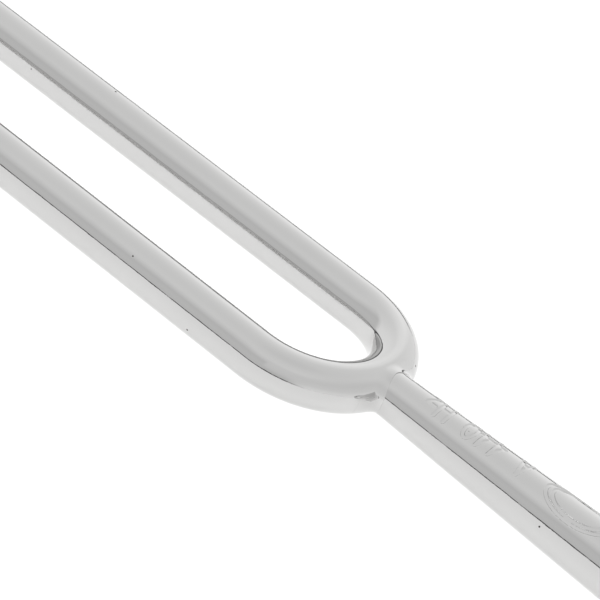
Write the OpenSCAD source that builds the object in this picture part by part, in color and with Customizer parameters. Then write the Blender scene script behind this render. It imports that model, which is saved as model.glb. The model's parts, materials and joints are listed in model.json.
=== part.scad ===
// Tuning fork with round prongs, lying flat with its prongs towards -X and its foot towards +X.
// A U-bent round bar is drilled at the crown for a turned, tapering stem, which is brazed in,
// and a ball foot is pressed on the stem's other end.
// The origin is under the middle of the fork, level with the lowest point of the ball foot.

/* [Prongs] */
// Diameter of the round bar that the prongs and the crown are bent from
bar_d = 4.5; // [4.5:0.1:5.5]
// Distance between the two prongs' centre lines
prong_spacing = 15.6; // [13:0.1:20]
// Length of the straight part of each prong, from the bend to its tip
prong_len = 78; // [60:0.5:110]
// Chamfer around each prong's tip
tip_chamfer = 0.4; // [0.2:0.1:0.8]

/* [Stem] */
// Diameter of the stem where it meets the crown
stem_root_d = 4.2; // [3.6:0.1:4.2]
// Diameter of the stem where it meets the ball foot
stem_foot_d = 6; // [5:0.1:6.2]
// Length of the stem between the crown and the ball foot
stem_len = 28; // [20:0.5:40]

/* [Crown joint] */
// Diameter of the stem's spigot in the crown
spigot_d = 2.4; // [1.8:0.1:2.6]
// Depth of the spigot below its seat
spigot_len = 1.9; // [1:0.1:2.1]
// Gap around the spigot and under the shoulder, filled with braze metal
braze_gap = 0.1; // [0.05:0.01:0.12]
// How far the braze fillet reaches along the stem, past the crown's outermost point
fillet_reach = 0.1; // [0.05:0.05:0.3]
// How far the braze fillet spreads sideways over the crown, at its widest section
fillet_spread = 2.4; // [1.6:0.1:2.8]

/* [Foot] */
// Diameter of the ball foot
ball_d = 8; // [7.5:0.1:10]
// Diameter of the stem's journal inside the ball
journal_d = 3; // [2:0.1:3.2]
// Length of the stem's journal inside the ball
journal_len = 4; // [2:0.1:4]

/* [Hidden] */

$fn = 96;
TINY = 0.01;

bar_r = bar_d / 2;
bend_r = prong_spacing / 2;
crown_apex = bend_r + bar_r;
stem_root_r = stem_root_d / 2;
stem_foot_r = stem_foot_d / 2;
ball_r = ball_d / 2;

// The places along the fork's axis are measured from the centre of the bend
seat_share = 0.4;
socket_spare_gaps = 3;
seat_x = bend_r + seat_share * bar_r;
socket_end_x = seat_x - spigot_len - socket_spare_gaps * braze_gap;
stem_foot_x = crown_apex + stem_len;
ball_x = stem_foot_x + sqrt(ball_r * ball_r - stem_foot_r * stem_foot_r);
fork_len = prong_len + ball_x + ball_r;
bore_clearance = 0.3;

// The braze fillet's outside is a run of elliptical sections, wide at the crown
fillet_steps = 5;
fillet_hollow = 1.15;
fillet_start_share = 0.3;
fillet_skin = 0.05;
fillet_start_x = bend_r + fillet_start_share * bar_r;
fillet_end_x = crown_apex + fillet_reach;
fillet_crest = bar_r - fillet_skin;
fillet_fall = 0.25;

function fillet_x(t) = fillet_start_x + t * (fillet_end_x - fillet_start_x);
function fillet_half_width(t) = stem_root_r + fillet_skin + fillet_spread * pow(1 - t, fillet_hollow);
function fillet_half_height(t) = fillet_crest - fillet_fall * t;

// Moves a shape from the bend's own place to its place in the fork's frame
module in_frame() {
    translate([prong_len - fork_len / 2, 0, ball_r])
        children();
}

// A round rod along X from x1 to x2, with its radius at each end
module rod(x1, x2, r1, r2) {
    translate([x1, 0, 0])
        rotate([0, 90, 0])
            cylinder(h = x2 - x1, r1 = r1, r2 = r2);
}

// One straight prong, with a chamfered tip
module prong(side) {
    translate([0, side * bend_r, 0]) {
        rod(-prong_len + tip_chamfer, 0, bar_r, bar_r);
        rod(-prong_len, -prong_len + tip_chamfer, bar_r - tip_chamfer, bar_r);
    }
}

// The half turn that joins the prongs
module crown_bend() {
    rotate([0, 0, -90])
        rotate_extrude(angle = 180)
            translate([bend_r, 0])
                circle(r = bar_r);
}

// The blind socket and the flat-bottomed seat that are cut in the crown
module crown_bores() {
    rod(socket_end_x, seat_x, spigot_d / 2 + braze_gap, spigot_d / 2 + braze_gap);
    rod(seat_x - braze_gap, crown_apex + bar_r, stem_root_r + braze_gap, stem_root_r + braze_gap);
}

module bar_solid() {
    difference() {
        union() {
            prong(-1);
            prong(1);
            crown_bend();
        }
        crown_bores();
    }
}

// Spigot, straight land in the seat, tapering grip and journal, turned from one rod
module stem_solid() {
    rod(seat_x - spigot_len, seat_x + TINY, spigot_d / 2, spigot_d / 2);
    rod(seat_x, crown_apex, stem_root_r, stem_root_r);
    rod(crown_apex, stem_foot_x, stem_root_r, stem_foot_r);
    rod(stem_foot_x - TINY, stem_foot_x + journal_len, journal_d / 2, journal_d / 2);
}

// A thin elliptical plate across the fork's axis, at one place along the fillet
module fillet_section(t) {
    translate([fillet_x(t) - TINY, 0, 0])
        rotate([0, 90, 0])
            linear_extrude(height = TINY)
                scale([fillet_half_height(t), fillet_half_width(t)])
                    circle(r = 1, $fn = 48);
}

// The outside of the braze metal, which flares from the stem into the crown
module fillet_blank() {
    for (i = [0 : fillet_steps - 1])
        hull() {
            fillet_section(i / fillet_steps);
            fillet_section((i + 1) / fillet_steps);
        }
}

module prong_bar() {
    color("silver")
        in_frame()
            bar_solid();
}

module stem() {
    color("lightgray")
        in_frame()
            stem_solid();
}

module braze_fillet() {
    color("darkgray")
        in_frame()
            difference() {
                union() {
                    fillet_blank();
                    rod(seat_x - spigot_len, seat_x, spigot_d / 2 + braze_gap, spigot_d / 2 + braze_gap);
                }
                bar_solid();
                stem_solid();
            }
}

// Half section of the ball foot, with its flat and its blind bore, its axis along Y
module ball_section() {
    flat_y = stem_foot_x - ball_x;
    difference() {
        intersection() {
            circle(r = ball_r);
            translate([0, flat_y])
                square([ball_r, ball_r - flat_y]);
        }
        translate([-1, flat_y - 1])
            square([1 + journal_d / 2, 1 + journal_len + bore_clearance]);
    }
}

module foot_ball() {
    color("gainsboro")
        in_frame()
            translate([ball_x, 0, 0])
                rotate([0, 90, 0])
                    rotate_extrude()
                        ball_section();
}

prong_bar();
stem();
braze_fillet();
foot_ball();
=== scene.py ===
"""A plated tuning fork: high-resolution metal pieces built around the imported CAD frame, in a plain studio."""
import json
import math

import bpy
import numpy as np
from mathutils import Matrix, Vector


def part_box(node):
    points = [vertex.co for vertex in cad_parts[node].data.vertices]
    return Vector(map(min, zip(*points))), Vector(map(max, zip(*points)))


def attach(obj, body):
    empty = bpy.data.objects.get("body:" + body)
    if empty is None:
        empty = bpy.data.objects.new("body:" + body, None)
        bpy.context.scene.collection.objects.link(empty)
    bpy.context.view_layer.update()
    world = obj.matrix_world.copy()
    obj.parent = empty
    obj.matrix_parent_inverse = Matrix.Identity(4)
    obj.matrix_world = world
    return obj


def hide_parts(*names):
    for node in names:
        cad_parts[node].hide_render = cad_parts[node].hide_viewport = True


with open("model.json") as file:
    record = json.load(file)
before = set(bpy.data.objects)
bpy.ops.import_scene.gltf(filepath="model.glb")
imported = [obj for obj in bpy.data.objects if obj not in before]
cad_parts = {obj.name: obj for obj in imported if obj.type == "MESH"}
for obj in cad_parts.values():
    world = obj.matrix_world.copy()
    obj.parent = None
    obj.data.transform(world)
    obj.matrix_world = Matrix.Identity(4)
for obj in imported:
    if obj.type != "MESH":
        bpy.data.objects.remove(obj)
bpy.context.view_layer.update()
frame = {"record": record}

MM = 0.001
TAU = 2 * math.pi

# ------------------------------------------------------------------ sizes, from the frame
# All lengths below are in millimetres; pieces are scaled to metres when their mesh is made.


def box_mm(node):
    low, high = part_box(node)
    return np.array(low) / MM, np.array(high) / MM


BAR_LOW, BAR_HIGH = box_mm("prong_bar")
STEM_LOW, STEM_HIGH = box_mm("stem")
BALL_LOW, BALL_HIGH = box_mm("foot_ball")
MOUNTS = {m["name"]: m for m in frame["record"]["mounts"]}
PRONG = MOUNTS["prong_near"]

AXIS_Z = (BAR_LOW[2] + BAR_HIGH[2]) / 2
BAR_R = (BAR_HIGH[2] - BAR_LOW[2]) / 2
BEND_R = (BAR_HIGH[1] - BAR_LOW[1]) / 2 - BAR_R
BEND_X = PRONG["pos_m"][0] / MM + PRONG["dims"]["length_mm"] / 2
TIP_X = BAR_LOW[0]
CROWN_X = BEND_X + BEND_R + BAR_R
FOOT_X = BALL_LOW[0]
BALL_R = (BALL_HIGH[2] - BALL_LOW[2]) / 2
BALL_X = BALL_HIGH[0] - BALL_R
STEM_FOOT_R = (STEM_HIGH[2] - STEM_LOW[2]) / 2

# Sizes that no box shows, as the CAD has them
TIP_CHAMFER = 0.4
STEM_ROOT_R = 2.1
SPIGOT_R = 1.2
BRAZE_GAP = 0.1
JOURNAL_R = 1.5
BORE_CLEARANCE = 0.3
SEAT_SHARE = 0.4
SOCKET_SPARE_GAPS = 3
SEAT_X = BEND_X + BEND_R + SEAT_SHARE * BAR_R


# ------------------------------------------------------------------ mesh helpers
def new_piece(name, points, faces, sharp_deg=30):
    """A smooth-shaded mesh object from points in millimetres."""
    mesh = bpy.data.meshes.new(name)
    mesh.from_pydata((np.asarray(points) * MM).tolist(), [], faces)
    mesh.update()
    mesh.shade_smooth()
    mesh.set_sharp_from_angle(angle=math.radians(sharp_deg))
    piece = bpy.data.objects.new(name, mesh)
    bpy.context.scene.collection.objects.link(piece)
    return piece


def grid_faces(rows, cols, start=0, close_rows=False):
    """Quads of a grid whose columns close into a ring, and its rows too if asked."""
    faces = []
    for i in range(rows if close_rows else rows - 1):
        here, there = start + i * cols, start + ((i + 1) % rows) * cols
        for j in range(cols):
            k = (j + 1) % cols
            faces.append((here + j, here + k, there + k, there + j))
    return faces


def capped_tube(rings):
    """Points and faces of a closed tube: rings is rows x columns x 3, with a fan at each end."""
    rows, cols, _ = rings.shape
    points = rings.reshape(-1, 3)
    faces = grid_faces(rows, cols)
    first, last = len(points), len(points) + 1
    points = np.vstack([points, rings[0].mean(axis=0), rings[-1].mean(axis=0)])
    end = (rows - 1) * cols
    for j in range(cols):
        k = (j + 1) % cols
        faces.append((first, k, j))
        faces.append((last, end + j, end + k))
    return points, faces


def revolve(profile, angles):
    """Rings about the fork's axis from (x, radius) pairs. Angle 0 is up, and grows towards -Y."""
    x, r = np.array(profile).T
    rings = np.empty((len(x), len(angles), 3))
    rings[..., 0] = x[:, None]
    rings[..., 1] = -r[:, None] * np.sin(angles)
    rings[..., 2] = AXIS_Z + r[:, None] * np.cos(angles)
    return rings


def spaced(start, stop, step):
    """Evenly spaced values from start to stop, no more than step apart."""
    return np.linspace(start, stop, max(2, math.ceil(abs(stop - start) / step) + 1))


# ------------------------------------------------------------------ the bent bar
BAR_SIDES = 160
STRAIGHT_STEP = 1.2
BEND_STEP = 0.16
BEND_FLATTENING = 0.012
BORE_SIDES = 72


def bar_path():
    """Centre line of the bar from the near tip round to the far one: place, tangent and bend amount."""
    near = [(x, -BEND_R, 1, 0, 0) for x in spaced(TIP_X + TIP_CHAMFER, BEND_X, STRAIGHT_STEP)]
    far = [(x, BEND_R, -1, 0, 0) for x in spaced(BEND_X, TIP_X + TIP_CHAMFER, STRAIGHT_STEP)]
    turn = []
    for a in spaced(-math.pi / 2, math.pi / 2, BEND_STEP / BEND_R)[1:-1]:
        place = (BEND_X + BEND_R * math.cos(a), BEND_R * math.sin(a))
        turn.append((*place, -math.sin(a), math.cos(a), math.sin(a + math.pi / 2)))
    return np.array(near + turn + far)


def tip_rings():
    """Inset and radius of the rings that make a tip: a flat end and a chamfer with softened edges."""
    flat_r = BAR_R - TIP_CHAMFER
    soft = 0.07
    edge = [(0, flat_r - soft), (soft * 0.2, flat_r - soft * 0.35), (soft, flat_r + soft * 0.7)]
    shoulder = [(TIP_CHAMFER - soft * 0.7, BAR_R - soft), (TIP_CHAMFER - soft * 0.1, BAR_R - soft * 0.2)]
    inner = [(0, flat_r * f) for f in (0.25, 0.5, 0.75, 0.92)]
    return inner + edge + shoulder


def bar_rings():
    sides = np.arange(BAR_SIDES) * TAU / BAR_SIDES
    out, up = np.cos(sides), np.sin(sides)
    rings = []

    def ring(x, y, tx, ty, r_side, r_up):
        # the section's own axes: outwards from the bend, and up
        place = np.empty((BAR_SIDES, 3))
        place[:, 0] = x + ty * out * r_side
        place[:, 1] = y - tx * out * r_side
        place[:, 2] = AXIS_Z + up * r_up
        rings.append(place)

    for inset, r in tip_rings():
        ring(TIP_X + inset, -BEND_R, 1, 0, r, r)
    for x, y, tx, ty, bend in bar_path():
        # bending flattens the bar a little across the bend's plane
        ring(x, y, tx, ty, BAR_R, BAR_R * (1 - BEND_FLATTENING * bend))
    for inset, r in reversed(tip_rings()):
        ring(TIP_X + inset, BEND_R, -1, 0, r, r)
    return np.array(rings)


def cut(piece, cutter):
    """Subtracts one closed piece from another and removes the cutter."""
    tool = piece.modifiers.new("cut", "BOOLEAN")
    tool.operation, tool.solver, tool.object = "DIFFERENCE", "EXACT", cutter
    evaluated = piece.evaluated_get(bpy.context.evaluated_depsgraph_get())
    mesh = bpy.data.meshes.new_from_object(evaluated)
    piece.modifiers.clear()
    piece.data = mesh
    mesh.set_sharp_from_angle(angle=math.radians(30))
    bpy.data.objects.remove(cutter)


def make_bar():
    bar = new_piece("bent_bar", *capped_tube(bar_rings()))
    round_angles = np.arange(BORE_SIDES) * TAU / BORE_SIDES
    seat_r = STEM_ROOT_R + BRAZE_GAP
    socket_r = SPIGOT_R + BRAZE_GAP
    socket_x = STEM_LOW[0] - SOCKET_SPARE_GAPS * BRAZE_GAP
    seat_x = SEAT_X - BRAZE_GAP
    bores = [(socket_x, 0.01), (socket_x, socket_r), (seat_x, socket_r)]
    bores += [(seat_x, seat_r), (CROWN_X + BAR_R, seat_r), (CROWN_X + BAR_R, 0.01)]
    cutter = new_piece("bores", *capped_tube(revolve(bores, round_angles)))
    cut(bar, cutter)
    return bar


# ------------------------------------------------------------------ the stem and its marking
MARK_ARC = 0.26
LETTER_HEIGHT = 2.25
LETTER_WIDTH = 1.04
LETTER_PITCH = 1.40
STROKE_HALF = 0.14
GROOVE_DEPTH = 0.1
GROOVE_WALL = 0.07
MARK_START = 3.0
OVAL_X = 19.4
OVAL_SIZE = (3.4, 1.75)
OVAL_DROP = 0.1
INNER_OVAL_SCALE = 0.8
# The marking's part of the stem: its angles about the axis, and the mesh's steps there
MARK_ANGLES = (-0.92, 1.02)
MARK_COLUMNS = 104
PLAIN_COLUMNS = 60
MARK_STEP = 0.036


def arc_points(cx, cy, rx, ry, start, stop, steps=14):
    """Points on an ellipse, angles in degrees."""
    a = np.radians(np.linspace(start, stop, steps))
    return [(cx + rx * math.cos(t), cy + ry * math.sin(t)) for t in a]


# Strokes of each plain character, in a box one unit wide and one unit high
GLYPHS = {
    "A": [[(0, 0), (0.5, 1), (1, 0)], [(0.2, 0.36), (0.8, 0.36)]],
    "4": [[(0.72, 0), (0.72, 1), (0, 0.3), (1, 0.3)]],
    "0": [arc_points(0.5, 0.5, 0.5, 0.5, 0, 360, 28)],
    "H": [[(0, 0), (0, 1)], [(1, 0), (1, 1)], [(0, 0.5), (1, 0.5)]],
    "z": [[(0.1, 0.62), (0.9, 0.62), (0.1, 0), (0.9, 0)]],
}
PITCH_MARK = "A 440 Hz"


def mark_strokes():
    """The marking's strokes on the unrolled stem: distance from the crown, and arc towards -Y."""
    strokes = []
    for i, char in enumerate(reversed(PITCH_MARK)):
        left = MARK_START + i * LETTER_PITCH + LETTER_WIDTH
        for line in GLYPHS.get(char, []):
            strokes.append([(left - x * LETTER_WIDTH, MARK_ARC + (y - 0.5) * LETTER_HEIGHT) for x, y in line])
    for scale in (1, INNER_OVAL_SCALE):
        long, short = (half * scale for half in OVAL_SIZE)
        strokes.append(arc_points(OVAL_X, MARK_ARC + OVAL_DROP, long, short, 0, 360, 72))
    return strokes


def distance_to(strokes, u, v):
    """Smallest distance from each point (u, v) to the strokes."""
    best = np.full(u.shape, 1e9)
    for line in strokes:
        for (ax, ay), (bx, by) in zip(line[:-1], line[1:]):
            dx, dy = bx - ax, by - ay
            t = np.clip(((u - ax) * dx + (v - ay) * dy) / (dx * dx + dy * dy), 0, 1)
            best = np.minimum(best, np.hypot(u - ax - t * dx, v - ay - t * dy))
    return best


def smooth_step(x):
    x = np.clip(x, 0, 1)
    return x * x * (3 - 2 * x)


def stem_radius(x):
    grow = (STEM_FOOT_R - STEM_ROOT_R) / (FOOT_X - CROWN_X)
    return STEM_ROOT_R + grow * np.maximum(0, x - CROWN_X)


def stem_angles():
    """Close columns where the marking is, wider ones elsewhere."""
    low, high = MARK_ANGLES
    fine = np.linspace(low, high, MARK_COLUMNS)
    rest = np.linspace(high, low + TAU, PLAIN_COLUMNS)[1:-1]
    return np.concatenate([fine, rest])


def stem_profile():
    """(x, radius) pairs from the spigot's end to the journal's end."""
    soft = 0.05
    spigot = [(STEM_LOW[0], SPIGOT_R - 0.2), (STEM_LOW[0] + 0.2, SPIGOT_R)]
    shoulder = [(SEAT_X, SPIGOT_R), (SEAT_X, STEM_ROOT_R - soft), (SEAT_X + soft, STEM_ROOT_R)]
    mark_end = CROWN_X + OVAL_X + OVAL_SIZE[0] + 0.3
    grip = list(spaced(SEAT_X + 0.3, CROWN_X, 0.2)) + list(spaced(CROWN_X + 0.3, CROWN_X + 2.8, 0.4))
    grip += list(spaced(CROWN_X + 2.84, mark_end, MARK_STEP))
    grip += list(spaced(mark_end + 0.4, FOOT_X - soft, 0.5))
    grip = [(x, float(stem_radius(x))) for x in grip]
    foot = [(FOOT_X, STEM_FOOT_R - soft), (FOOT_X, JOURNAL_R)]
    journal = [(STEM_HIGH[0] - 0.2, JOURNAL_R), (STEM_HIGH[0], JOURNAL_R - 0.2)]
    return spigot + shoulder + grip + foot + journal


def make_stem():
    angles = stem_angles()
    rings = revolve(stem_profile(), angles)
    x = rings[..., 0]
    r = np.hypot(rings[..., 1], rings[..., 2] - AXIS_Z)
    turned = np.where(angles > math.pi, angles - TAU, angles)
    u, v = x - CROWN_X, turned * r
    near = (u > 2) & (u < FOOT_X - CROWN_X - 1) & (np.abs(v) < 3.2) & (r > STEM_ROOT_R)
    depth = np.zeros_like(r)
    gap = distance_to(mark_strokes(), u[near], v[near])
    depth[near] = GROOVE_DEPTH * smooth_step((STROKE_HALF + GROOVE_WALL - gap) / GROOVE_WALL)
    scale = 1 - depth / np.maximum(r, 1e-6)
    rings[..., 1] *= scale
    rings[..., 2] = AXIS_Z + (rings[..., 2] - AXIS_Z) * scale
    return new_piece("turned_stem", *capped_tube(rings), sharp_deg=50)


# ------------------------------------------------------------------ the braze metal at the crown
FILLET_SIDES = 240
FILLET_STEPS = 22
FILLET_HALF_WIDTH = 4.25
FILLET_HALF_HEIGHT = 2.17
SKIN = 0.003
LIP_ON_TOP = 0.07
SINK = 0.03
ARRIVAL_SHARE = 0.72
HANDLE_SHARE = 0.33
HANDLE_EASE_ON_TOP = 0.08
FILM_SIDES = 64
SEAM_AT_SIDE = 0.33
SEAM_EXTRA_ON_TOP = 0.48
FULLEST_ANGLE = math.radians(-7)
FILLET_SQUARENESS = 3.2


def crown_x(rho, angle):
    """Where the bar's outer surface is, at a distance and an angle about the fork's axis, and its slope."""
    def surface(p):
        y, z = p * math.sin(angle), p * math.cos(angle)
        flat = 1 - BEND_FLATTENING
        tube = math.sqrt(max(0.0, BAR_R ** 2 - (z / flat) ** 2))
        return BEND_X + math.sqrt((BEND_R + tube) ** 2 - y * y)

    step = 1e-4
    return surface(rho), (surface(rho) - surface(rho - step)) / step


def fillet_outline(angle):
    """One section of the fillet: out along its visible curve, then back inside the stem and the bar."""
    side, top = abs(math.sin(angle)) / FILLET_HALF_WIDTH, abs(math.cos(angle)) / FILLET_HALF_HEIGHT
    rho_a = (side ** FILLET_SQUARENESS + top ** FILLET_SQUARENESS) ** (-1 / FILLET_SQUARENESS)
    x_a, slope = crown_x(rho_a, angle)
    x_root, _ = crown_x(STEM_ROOT_R, angle)
    # the braze metal was fed from above, so it is fuller there
    full = max(0.0, math.cos(angle - FULLEST_ANGLE)) ** 4
    x_seam = x_root + SEAM_AT_SIDE + SEAM_EXTRA_ON_TOP * full
    start = np.array([x_a, rho_a])
    stop = np.array([x_seam, stem_radius(x_seam) + LIP_ON_TOP * full])
    leave = np.array([-slope, -1.0])
    leave /= np.linalg.norm(leave)
    span = np.linalg.norm(stop - start)
    chord = math.atan2(start[1] - stop[1], stop[0] - start[0])
    arrive = np.array([math.cos(ARRIVAL_SHARE * chord), -math.sin(ARRIVAL_SHARE * chord)])
    handle = span * (HANDLE_SHARE - HANDLE_EASE_ON_TOP * full)
    p1, p2 = start + leave * handle, stop - arrive * handle
    t = np.linspace(0, 1, FILLET_STEPS)[:, None]
    curve = (1 - t) ** 3 * start + 3 * (1 - t) ** 2 * t * p1 + 3 * (1 - t) * t * t * p2 + t ** 3 * stop
    # the braze metal lies on the bar and the stem, never inside them
    for point in curve:
        point[1] = max(point[1], stem_radius(point[0]) + SKIN)
        point[0] = max(point[0], crown_x(point[1], angle)[0] + SKIN)
    inside_r = STEM_ROOT_R - SINK
    back = [(x_seam + 0.01, inside_r), (x_root + 0.12, inside_r), (x_root - 0.02, inside_r)]
    for f in (0.25, 0.5, 0.75, 0.96):
        rho = STEM_ROOT_R + f * (rho_a - STEM_ROOT_R)
        x, _ = crown_x(rho, angle)
        back.append((x - SINK, rho))
    return np.vstack([curve, back])


def make_fillet():
    angles = np.arange(FILLET_SIDES) * TAU / FILLET_SIDES
    rings = []
    for a in angles:
        outline = fillet_outline(a)
        x, r = outline.T
        rings.append(np.stack([x, -r * math.sin(a), AXIS_Z + r * math.cos(a)], axis=1))
    rings = np.array(rings)
    rows, cols, _ = rings.shape
    points = rings.reshape(-1, 3)
    faces = [face[::-1] for face in grid_faces(rows, cols, close_rows=True)]
    # the film of braze metal around the spigot, a closed ring of its own
    film_angles = np.arange(FILM_SIDES) * TAU / FILM_SIDES
    inside, outside = SPIGOT_R + 0.005, SPIGOT_R + BRAZE_GAP - 0.005
    x1, x2 = STEM_LOW[0] + 0.2, SEAT_X - BRAZE_GAP
    film = revolve([(x1, inside), (x1, outside), (x2, outside), (x2, inside)], film_angles)
    faces += grid_faces(4, len(film_angles), len(points), close_rows=True)
    points = np.vstack([points, film.reshape(-1, 3)])
    return new_piece("braze_ring", points, faces)


# ------------------------------------------------------------------ the ball foot
def make_ball():
    flat_a = math.acos((FOOT_X - BALL_X) / BALL_R)
    turns = np.linspace(flat_a - 0.02, 0.004, 90)
    arc = [(BALL_X + BALL_R * math.cos(a), BALL_R * math.sin(a)) for a in turns]
    flat_r = STEM_FOOT_R
    bore_x = STEM_HIGH[0] + BORE_CLEARANCE
    inside = [(bore_x, 0.01), (bore_x, JOURNAL_R), (FOOT_X + 0.05, JOURNAL_R), (FOOT_X, JOURNAL_R + 0.05)]
    face = [(FOOT_X, flat_r - 0.05), (FOOT_X + 0.02, flat_r)]
    angles = np.arange(180) * TAU / 180
    return new_piece("ball_end", *capped_tube(revolve(inside + face + arc, angles)))


# ------------------------------------------------------------------ materials
def plated_steel(name, color, roughness, wear=0.0):
    """Bright plating: smudges vary its gloss, fine wipe marks catch the light, and pits are rare."""
    mat = bpy.data.materials.new(name)
    mat.use_nodes = True
    nt = mat.node_tree
    nodes, links = nt.nodes, nt.links
    bsdf = nodes["Principled BSDF"]
    bsdf.inputs["Metallic"].default_value = 1.0
    coord = nodes.new("ShaderNodeTexCoord")

    def stretched(scale):
        mapping = nodes.new("ShaderNodeMapping")
        mapping.inputs["Scale"].default_value = scale
        links.new(coord.outputs["Object"], mapping.inputs["Vector"])
        return mapping.outputs["Vector"]

    def noise(scale, detail=2.0, vector=None):
        made = nodes.new("ShaderNodeTexNoise")
        made.inputs["Scale"].default_value = scale
        made.inputs["Detail"].default_value = detail
        links.new(vector or coord.outputs["Object"], made.inputs["Vector"])
        return made.outputs["Fac"]

    def remap(value, from_low, from_high, to_low, to_high):
        made = nodes.new("ShaderNodeMapRange")
        made.inputs["From Min"].default_value = from_low
        made.inputs["From Max"].default_value = from_high
        made.inputs["To Min"].default_value = to_low
        made.inputs["To Max"].default_value = to_high
        links.new(value, made.inputs["Value"])
        return made.outputs["Result"]

    def maths(operation, a, b):
        made = nodes.new("ShaderNodeMath")
        made.operation = operation
        for socket, value in zip(made.inputs, (a, b)):
            if isinstance(value, (int, float)):
                socket.default_value = value
            else:
                links.new(value, socket)
        return made.outputs["Value"]

    # handling haze: broad patches that are a little less glossy
    haze = remap(noise(260, 3), 0.42, 0.72, 0.0, 1.0)
    # fine wipe marks, long along the fork
    wipes = remap(noise(1.0, 3, stretched((900, 9000, 9000))), 0.55, 0.75, 0.0, 1.0)
    # rare tiny pits in the plating
    cells = nodes.new("ShaderNodeTexVoronoi")
    cells.inputs["Scale"].default_value = 900
    links.new(coord.outputs["Object"], cells.inputs["Vector"])
    chosen = nodes.new("ShaderNodeSeparateColor")
    links.new(cells.outputs["Color"], chosen.inputs["Color"])
    rare = maths("GREATER_THAN", chosen.outputs["Red"], 0.93)
    dot = remap(cells.outputs["Distance"], 0.06, 0.10, 1.0, 0.0)
    pits = maths("MULTIPLY", rare, dot)

    shade = remap(noise(140, 2), 0.3, 0.7, 0.0, 1.0)
    tint = nodes.new("ShaderNodeMix")
    tint.data_type = "RGBA"
    tint.inputs["A"].default_value = (*[c * 0.985 for c in color], 1)
    tint.inputs["B"].default_value = (*color, 1)
    links.new(shade, tint.inputs["Factor"])
    pitted = nodes.new("ShaderNodeMix")
    pitted.data_type = "RGBA"
    pitted.inputs["B"].default_value = (0.05, 0.045, 0.04, 1)
    links.new(pits, pitted.inputs["Factor"])
    links.new(tint.outputs["Result"], pitted.inputs["A"])
    links.new(pitted.outputs["Result"], bsdf.inputs["Base Color"])

    rough = maths("ADD", remap(haze, 0, 1, roughness, roughness + 0.035), maths("MULTIPLY", wipes, 0.02))
    rough = maths("ADD", rough, maths("MULTIPLY", pits, 0.4))
    if wear:
        rough = maths("ADD", rough, maths("MULTIPLY", remap(noise(1500, 3), 0.45, 0.7, 0, 1), wear))
    links.new(rough, bsdf.inputs["Roughness"])

    relief = maths("ADD", maths("MULTIPLY", wipes, 0.5), maths("MULTIPLY", pits, -30.0))
    ripple = noise(330, 2)
    relief = maths("ADD", relief, maths("MULTIPLY", ripple, 14.0))
    bump = nodes.new("ShaderNodeBump")
    bump.inputs["Strength"].default_value = 1.0
    bump.inputs["Distance"].default_value = 1.0e-6
    links.new(relief, bump.inputs["Height"])
    links.new(bump.outputs["Normal"], bsdf.inputs["Normal"])
    return mat


def plain_floor():
    """A plain white matte table top."""
    mat = bpy.data.materials.new("pale_floor")
    mat.use_nodes = True
    bsdf = mat.node_tree.nodes["Principled BSDF"]
    bsdf.inputs["Base Color"].default_value = (0.80, 0.80, 0.80, 1)
    bsdf.inputs["Roughness"].default_value = 0.9
    bsdf.inputs["Specular IOR Level"].default_value = 0.0
    return mat


# ------------------------------------------------------------------ building
def settle(piece, node, material):
    piece.data.materials.clear()
    piece.data.materials.append(material)
    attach(piece, "root")
    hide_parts(node)


PLATING = (0.575, 0.573, 0.569)
settle(make_bar(), "prong_bar", plated_steel("bar_plating", PLATING, 0.03))
settle(make_stem(), "stem", plated_steel("stem_plating", PLATING, 0.035))
settle(make_fillet(), "braze_fillet", plated_steel("fillet_plating", PLATING, 0.045))
settle(make_ball(), "foot_ball", plated_steel("ball_plating", PLATING, 0.035, wear=0.03))


# ------------------------------------------------------------------ studio
def make_floor():
    """A pale table that the ball foot and the prong tips rest on."""
    size = 3.0
    ball_low = Vector((BALL_X, 0, AXIS_Z - BALL_R)) * MM
    tip_low = Vector((TIP_X, 0, AXIS_Z - BAR_R)) * MM
    slope = (tip_low.z - ball_low.z) / (ball_low.x - tip_low.x)
    mesh = bpy.data.meshes.new("table")
    corners = [(-size, -size), (size, -size), (size, size), (-size, size)]
    points = [(x, y, ball_low.z - 0.00001 - slope * (x - ball_low.x)) for x, y in corners]
    mesh.from_pydata(points, [], [(0, 1, 2, 3)])
    floor = bpy.data.objects.new("table", mesh)
    bpy.context.scene.collection.objects.link(floor)
    mesh.materials.append(plain_floor())


def ramp(nt, value, stops):
    """A colour ramp over value with grey stops (position, level)."""
    made = nt.nodes.new("ShaderNodeValToRGB")
    made.color_ramp.interpolation = "LINEAR"
    elements = made.color_ramp.elements
    while len(elements) < len(stops):
        elements.new(1.0)
    for element, (place, level) in zip(elements, stops):
        element.position = place
        element.color = (level, level, level, 1)
    nt.links.new(value, made.inputs["Fac"])
    return made.outputs["Color"]


SURROUND_STRENGTH = 1.34


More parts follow.
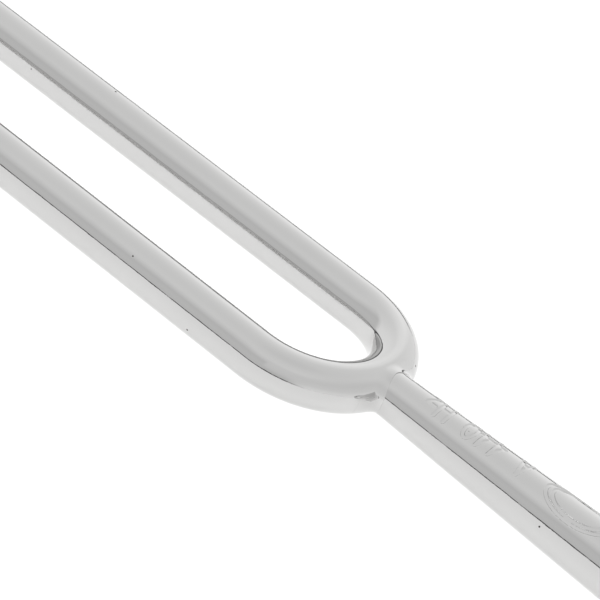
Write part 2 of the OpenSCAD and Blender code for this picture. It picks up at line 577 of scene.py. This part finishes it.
def make_studio():
    """Soft surround: brighter behind, a grey card in front on the prongs' side, and a dim horizon."""
    world = bpy.data.worlds.new("studio")
    bpy.context.scene.world = world
    world.use_nodes = True
    nt = world.node_tree
    coord = nt.nodes.new("ShaderNodeTexCoord")
    split = nt.nodes.new("ShaderNodeSeparateXYZ")
    nt.links.new(coord.outputs["Generated"], split.inputs["Vector"])

    def step(axis, low, high):
        made = nt.nodes.new("ShaderNodeMapRange")
        made.interpolation_type = "SMOOTHSTEP"
        made.inputs["From Min"].default_value = low
        made.inputs["From Max"].default_value = high
        nt.links.new(split.outputs[axis], made.inputs["Value"])
        return made.outputs["Result"]

    def mix(factor, a, b):
        made = nt.nodes.new("ShaderNodeMix")
        made.data_type = "RGBA"
        nt.links.new(factor, made.inputs["Factor"])
        nt.links.new(a, made.inputs["A"])
        nt.links.new(b, made.inputs["B"])
        return made.outputs["Result"]

    height = split.outputs["Z"]
    horizon = [(0.0, 0.08), (0.05, 0.08)]
    top = [(0.95, 0.70), (1.0, 0.665)]
    high = [(0.70, 0.68), (0.80, 0.73), (0.88, 0.72), *top]
    open_behind = ramp(nt, height, [(0.0, 0.80), (0.4, 0.80), (0.6, 0.76), (0.8, 0.73), *top])
    far_edge = [(0.0, 0.06), (0.10, 0.06)]
    dim_behind = ramp(nt, height, [*far_edge, (0.12, 0.94), (0.38, 0.94), (0.6, 0.84), (0.8, 0.76), *top])
    past_tips = ramp(nt, height, [*far_edge, (0.12, 0.84), (0.38, 0.83), (0.6, 0.77), (0.8, 0.73), *top])
    beside = ramp(nt, height, [(0.0, 0.82), (0.3, 0.70), (0.6, 0.66), *top])
    open_front = ramp(nt, height, [*horizon, (0.07, 0.52), (0.35, 0.64), (0.5, 0.66), *high])
    card_front = ramp(nt, height, [*horizon, (0.07, 0.57), (0.3, 0.59), (0.53, 0.57), *high])
    # the card, and the dim horizon behind, reach round towards the prong tips
    front = mix(step("X", 0.05, -0.03), open_front, card_front)
    behind = mix(step("X", -0.1, -0.3), open_behind, dim_behind)
    behind = mix(step("X", -0.4, -0.6), behind, past_tips)
    around = mix(step("Y", 0.12, -0.12), behind, front)
    surround = mix(step("X", 0.35, 0.75), around, beside)
    nt.links.new(surround, nt.nodes["Background"].inputs["Color"])
    nt.nodes["Background"].inputs["Strength"].default_value = SURROUND_STRENGTH
    # the surround is mirrored in the plating but leaves the table to the lamp
    world.cycles_visibility.diffuse = False


def make_key_light():
    """A very broad lamp overhead, which alone lights the table: it casts no shadow and isn't mirrored."""
    data = bpy.data.lights.new("overhead", "AREA")
    data.shape = "DISK"
    data.size = 3.0
    data.energy = 63
    data.use_shadow = False
    lamp = bpy.data.objects.new("overhead", data)
    lamp.location = (0, 0, 1.5)
    lamp.visible_glossy = False
    bpy.context.scene.collection.objects.link(lamp)


CAM_AZIMUTH = 26.07
CAM_ELEVATION = 31.4
CAM_ROLL = 23.34
CAM_LENS = 204.3
CAM_DISTANCE = 65.7
CAM_TARGET = (-0.711, 0.624)


def make_camera():
    """Distances are in bar diameters, and the target is measured from the centre of the bend."""
    unit = 2 * BAR_R * MM
    az, el, roll = (math.radians(a) for a in (CAM_AZIMUTH, CAM_ELEVATION, CAM_ROLL))
    back = Vector((math.sin(az) * math.cos(el), -math.cos(az) * math.cos(el), math.sin(el)))
    right = (-back).cross(Vector((0, 0, 1))).normalized()
    up = right.cross(-back)
    across = math.cos(roll) * right + math.sin(roll) * up
    upright = math.cos(roll) * up - math.sin(roll) * right
    target = Vector((BEND_X * MM + CAM_TARGET[0] * unit, CAM_TARGET[1] * unit, AXIS_Z * MM))
    data = bpy.data.cameras.new("camera")
    data.sensor_width = 36
    data.lens = CAM_LENS
    data.clip_start, data.clip_end = 0.01, 20
    camera = bpy.data.objects.new("camera", data)
    turn = Matrix((across, upright, back)).transposed().to_4x4()
    camera.matrix_world = Matrix.Translation(target + back * CAM_DISTANCE * unit) @ turn
    bpy.context.scene.collection.objects.link(camera)
    bpy.context.scene.camera = camera


make_floor()
make_studio()
make_key_light()
make_camera()
bpy.context.scene.view_settings.view_transform = "Standard"
